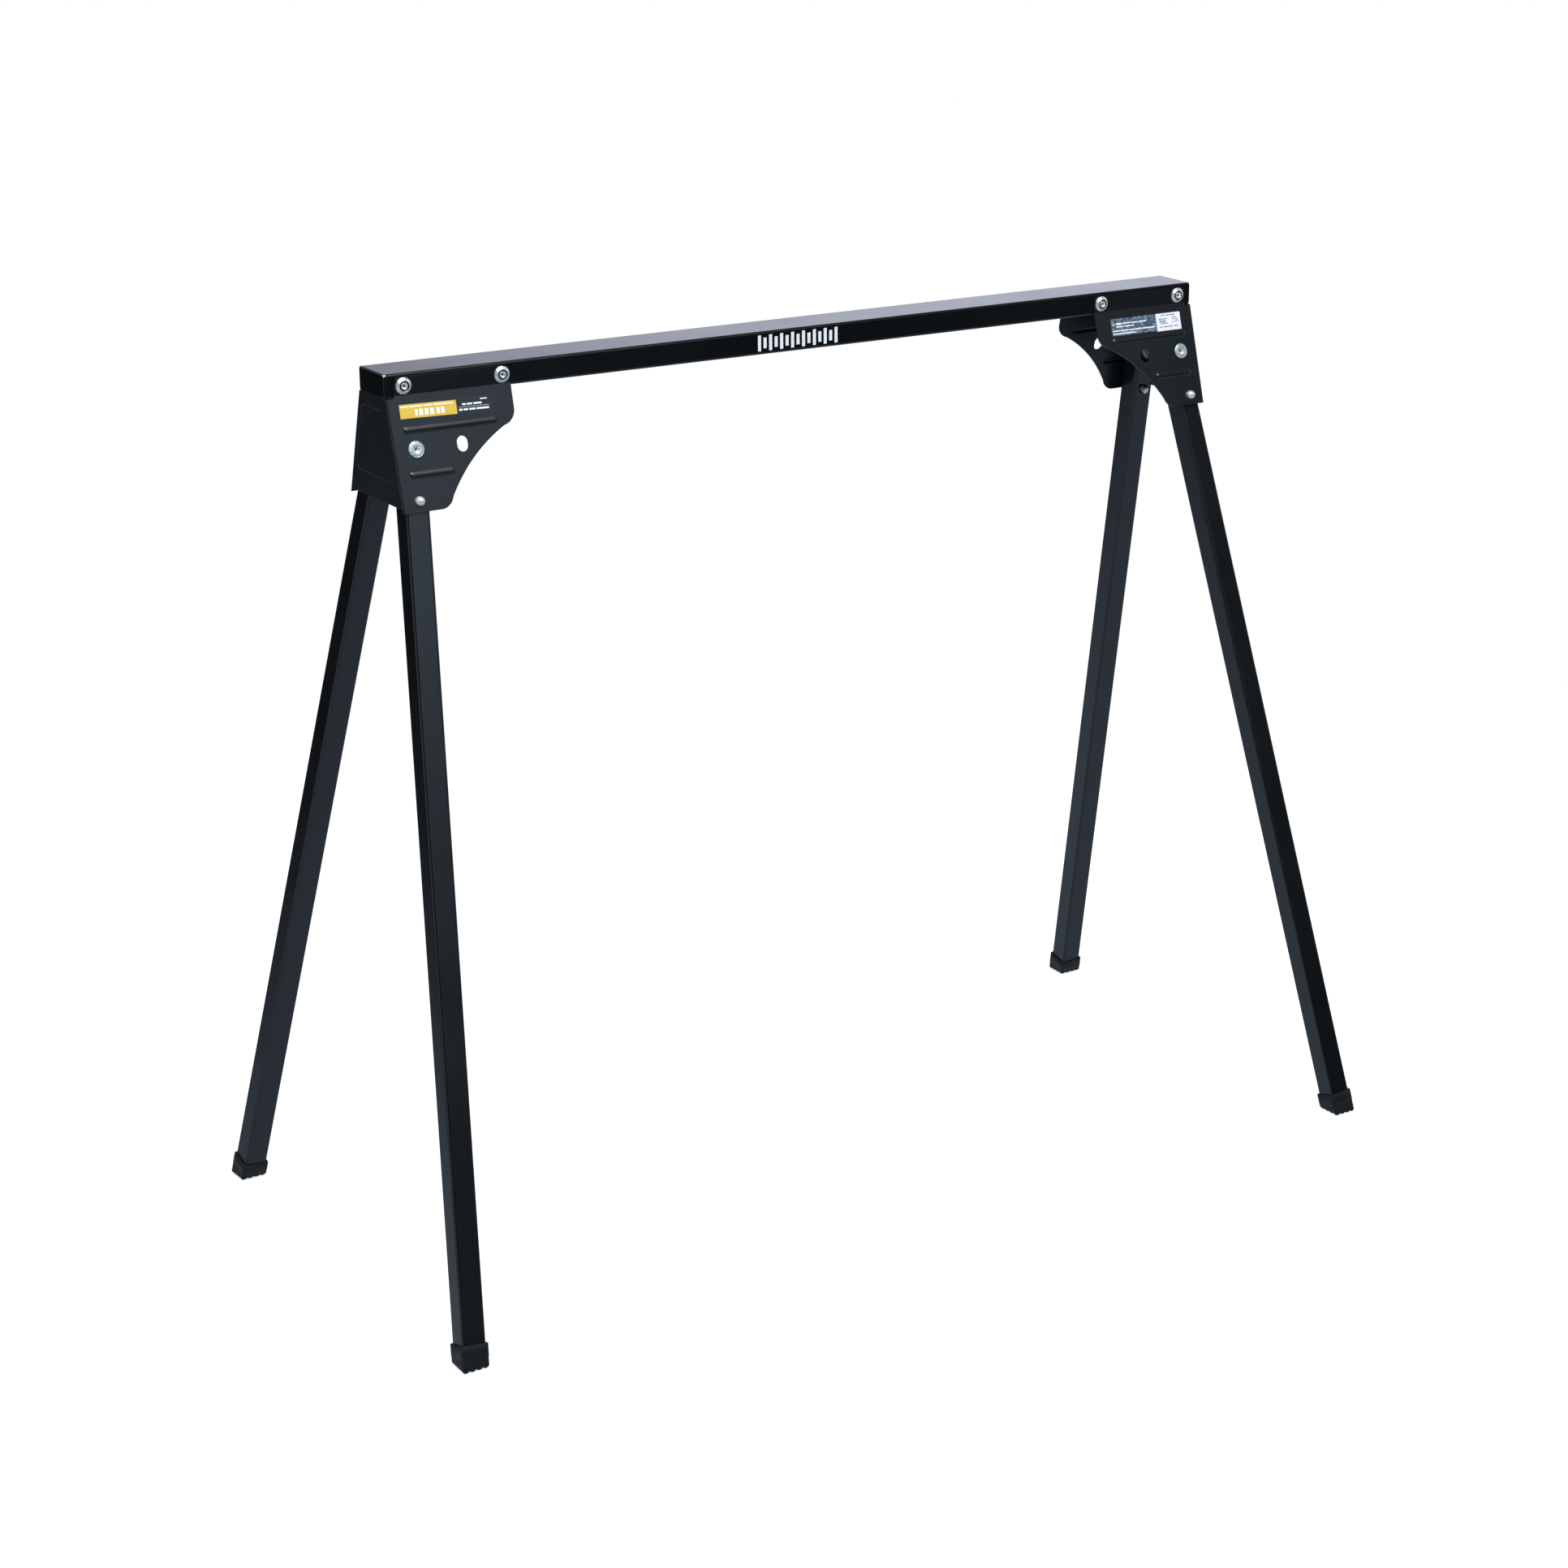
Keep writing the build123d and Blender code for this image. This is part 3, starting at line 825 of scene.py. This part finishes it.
plainLabelValues = {
    "greyBars": [
        (6.0, 10.5, 1.5, 2.5), (11.5, 21.5, 1.5, 2.5),
        (3.0, 12.5, 4.6, 5.8), (3.6, 11.0, 6.4, 8.2), (4.4, 12.8, 8.8, 9.8),
        (18.5, 20.0, 4.2, 6.6), (20.8, 22.6, 3.8, 5.2), (22.2, 24.4, 5.8, 7.2),
        (17.4, 19.4, 8.4, 9.4), (20.4, 24.8, 8.2, 9.0),
        (3.0, 7.0, 12.0, 13.0), (8.0, 14.5, 12.0, 13.0), (15.5, 17.5, 11.4, 13.2), (19.0, 24.5, 11.8, 13.0),
    ],
}


def labelPlace(node, cornerName):
    # at the label's left upper corner as seen from the front, with its width and height
    low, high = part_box(node)
    wing = wingPlace(cornerName)
    x, y, outward = wing.to_3x3().col
    middle = (low + high) / 2
    onFace = middle - outward * (middle - wing.translation).dot(outward)
    width = high.x - low.x
    tall = (high.z - low.z) / abs(y.z)
    corner = onFace - x * width / 2 + y * tall / 2
    return placeMatrix(corner, outward, x), width / mm, tall / mm


def addPatch(bm, place, bar, layer, material):
    start, end, top, bottom = bar
    low, high = labelLayers[layer]
    addBox(bm, place, (start, -bottom, low), (end, -top, high), material)


def addLoadLabel(values):
    bm = bmesh.new()
    place, width, tall = labelPlace("load_label", "left_front")
    hinge, turn = values["crooked"]
    shift = Matrix.Translation((hinge * mm, 0, 0))
    place = place @ shift @ Matrix.Rotation(math.radians(turn), 4, "Z") @ shift.inverted()
    addPatch(bm, place, (0, width, 0, tall), "film", 0)
    addPatch(bm, place, values["yellow"], "print", 1)
    for bar in values["smallBars"]:
        addPatch(bm, place, (*bar, *values["smallLine"]), "overprint", 2)
    for bar in values["boldBars"]:
        addPatch(bm, place, (*bar, *values["boldLine"]), "overprint", 2)
    for bar in values["whiteBars"]:
        addPatch(bm, place, bar, "print", 2)
    label = meshPiece("loadLabel", bm, [inks["labelBlue"], inks["labelYellow"], inks["labelWhite"]])
    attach(label, "frame")
    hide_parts("load_label")


def addTriangle(bm, place, corners, layer, material):
    lower, upper = (
        [bm.verts.new(place @ (Vector((x, -y, height)) * mm)) for x, y in corners]
        for height in labelLayers[layer]
    )
    faces = [bm.faces.new(upper), bm.faces.new(lower[::-1])]
    for i in range(3):
        j = (i + 1) % 3
        faces.append(bm.faces.new((lower[i], lower[j], upper[j], upper[i])))
    for face in faces:
        face.material_index = material


def addWarningLabel(values):
    bm = bmesh.new()
    place, width, tall = labelPlace("warning_label", "right_front")
    addPatch(bm, place, (0, width, 0, tall), "film", 0)
    for bar in values["lightBars"]:
        addPatch(bm, place, bar, "print", 1)
    addTriangle(bm, place, values["triangle"], "sign", 2)
    label = meshPiece("warningLabel", bm, [warningBlue, inks["labelWhite"], inks["labelYellow"]])
    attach(label, "frame")
    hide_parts("warning_label")


def addPlainLabel(values):
    bm = bmesh.new()
    place, width, tall = labelPlace("plain_label", "right_front")
    addPatch(bm, place, (0, width, 0, tall), "paper", 0)
    for bar in values["greyBars"]:
        addPatch(bm, place, bar, "paperPrint", 1)
    label = meshPiece("plainLabel", bm, [inks["labelWhite"], inks["labelGrey"]])
    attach(label, "frame")
    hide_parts("plain_label")


addLoadLabel(loadLabelValues)
addWarningLabel(warningLabelValues)
addPlainLabel(plainLabelValues)
dress("beam_mark", inks["printWhite"])
print("labels stuck on")


# a round floor that fades into the pale backdrop, and is seen by the camera only
floorValues = {
    "radius": 2.6,
    "below": 0.2,
    "fadeFrom": 0.9,
    "fadeTo": 2.4,
    "colours": ((0.5, 0.5, 0.5), (0.51, 0.51, 0.51)),
    "rough": 0.9,
    "specular": 0.1,
    "glow": 0.7,
}


def floorMaterial(values):
    material, tree, shader = newMaterial("studioFloor")
    shade = colourBetween(tree, noise(tree, 30, 3), *values["colours"])
    tree.links.new(shade, shader.inputs["Base Color"])
    shader.inputs["Roughness"].default_value = values["rough"]
    shader.inputs["Specular IOR Level"].default_value = values["specular"]
    shader.inputs["Emission Color"].default_value = (1, 1, 1, 1)
    shader.inputs["Emission Strength"].default_value = values["glow"]
    place = tree.nodes.new("ShaderNodeTexCoord")
    length = tree.nodes.new("ShaderNodeVectorMath")
    length.operation = "LENGTH"
    tree.links.new(place.outputs["Object"], length.inputs[0])
    fade = spread(tree, length.outputs["Value"], 0, 1, values["fadeFrom"], values["fadeTo"], smooth=True)
    seen = tree.nodes.new("ShaderNodeLightPath")
    hidden = mathNode(tree, "SUBTRACT", 1, seen.outputs["Is Camera Ray"])
    clear = tree.nodes.new("ShaderNodeBsdfTransparent")
    mix = tree.nodes.new("ShaderNodeMixShader")
    tree.links.new(mathNode(tree, "MAXIMUM", fade, hidden), mix.inputs["Fac"])
    tree.links.new(shader.outputs["BSDF"], mix.inputs[1])
    tree.links.new(clear.outputs["BSDF"], mix.inputs[2])
    output = next(node for node in tree.nodes if node.type == "OUTPUT_MATERIAL")
    tree.links.new(mix.outputs["Shader"], output.inputs["Surface"])
    return material


def addFloor(values):
    bm = bmesh.new()
    bmesh.ops.create_circle(bm, cap_ends=True, segments=128, radius=values["radius"])
    for vertex in bm.verts:
        vertex.co.z = -values["below"] * mm
    floor = meshPiece("studioFloor", bm, [floorMaterial(values)])


roomValues = {
    "backdrop": (1.0, 1.0, 1.0),
    "dim": (0.005, 0.005, 0.006),
}

# soft glows in the room: direction, colour, strength, and the cosines where each starts and is full
glowValues = [
    ((0.28, -0.862, 0.44), (0.78, 1.0, 1.24), 1.8, 0.942, 0.985),
    ((0.70, 0.68, 0.20), (0.90, 0.94, 1.13), 1.4, 0.86, 1.0),
    ((0, 0, -1), (0.78, 1.0, 1.25), 0.5, 0.26, 0.38),
    ((0, 0, 1), (1.0, 1.0, 1.0), 0.25, 0.45, 0.95),
    ((0.98, -0.05, 0.16), (0.90, 1.0, 1.12), 0.75, 0.78, 0.97),
    ((-0.98, -0.05, 0.16), (0.90, 1.0, 1.12), 0.75, 0.78, 0.97),
    ((-0.56, 0.72, 0.42), (0.90, 1.0, 1.12), 0.8, 0.88, 0.98),
]


def addRoom(values, glows):
    # a pale backdrop for the eye, and a soft room of lights and dark for the object
    world = bpy.data.worlds.new("studioRoom")
    scene.world = world
    world.use_nodes = True
    tree = world.node_tree
    place = tree.nodes.new("ShaderNodeTexCoord")
    total = None
    for direction, colour, strength, start, full in glows:
        dot = tree.nodes.new("ShaderNodeVectorMath")
        dot.operation = "DOT_PRODUCT"
        dot.inputs[1].default_value = Vector(direction).normalized()
        tree.links.new(place.outputs["Generated"], dot.inputs[0])
        glow = spread(tree, dot.outputs["Value"], 0, strength, start, full, smooth=True)
        tinted = tree.nodes.new("ShaderNodeVectorMath")
        tinted.operation = "MULTIPLY_ADD"
        tinted.inputs[1].default_value = colour
        tree.links.new(glow, tinted.inputs[0])
        if total is None:
            tinted.inputs[2].default_value = values["dim"]
        else:
            tree.links.new(total, tinted.inputs[2])
        total = tinted.outputs["Vector"]
    seen = tree.nodes.new("ShaderNodeLightPath")
    pale = mixed(tree, seen.outputs["Is Camera Ray"], total, values["backdrop"])
    tree.links.new(pale, tree.nodes["Background"].inputs["Color"])


softboxValues = {
    "place": (-0.5, -1.3, 2.9),
    "target": (0, 0, 0.4),
    "size": (2.4, 1.6),
    "power": 110,
    "colour": (0.94, 0.98, 1.0),
}


def addSoftbox(name, values):
    data = bpy.data.lights.new(name, "AREA")
    data.shape = "RECTANGLE"
    data.size, data.size_y = values["size"]
    data.energy = values["power"]
    data.color = values["colour"]
    lamp = bpy.data.objects.new(name, data)
    lamp.location = values["place"]
    lamp.rotation_mode = "QUATERNION"
    aim = Vector(values["target"]) - Vector(values["place"])
    lamp.rotation_quaternion = aim.to_track_quat("-Z", "Y")
    scene.collection.objects.link(lamp)


addFloor(floorValues)
addRoom(roomValues, glowValues)
addSoftbox("overheadBox", softboxValues)
print("studio lit")
